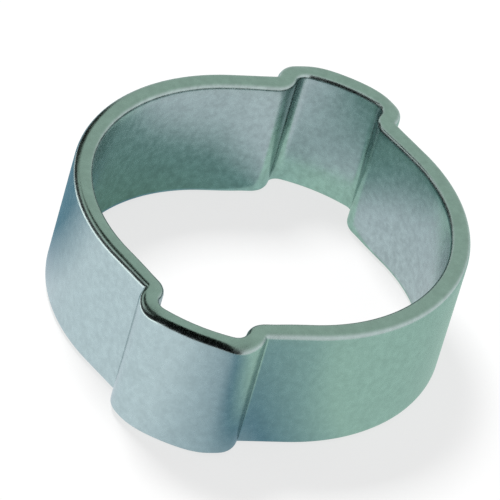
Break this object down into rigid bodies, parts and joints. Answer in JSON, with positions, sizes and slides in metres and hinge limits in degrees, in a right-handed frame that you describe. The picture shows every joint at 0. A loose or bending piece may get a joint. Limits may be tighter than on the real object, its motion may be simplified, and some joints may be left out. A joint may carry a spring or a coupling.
{
  "type": "ear hose clamp",
  "caption": "Endless steel band clamp for a hose, with opposite open ears whose legs are pinched together to tighten it.",
  "frame": {"origin": "on the axis of the hose bore, in the plane of the band's lower edge", "axes": "+Z along the bore axis, +X through the middle of one ear, the other ear on -X"},
  "size_m": [0.0306, 0.0256, 0.009],
  "materials": {
    "zinc_plated_steel": "satin zinc plating with a thin blue-green clear passivation, tumbled edges"
  },
  "bodies": {
    "root": {"clamp_band": "zinc_plated_steel"}
  },
  "joints": []
}
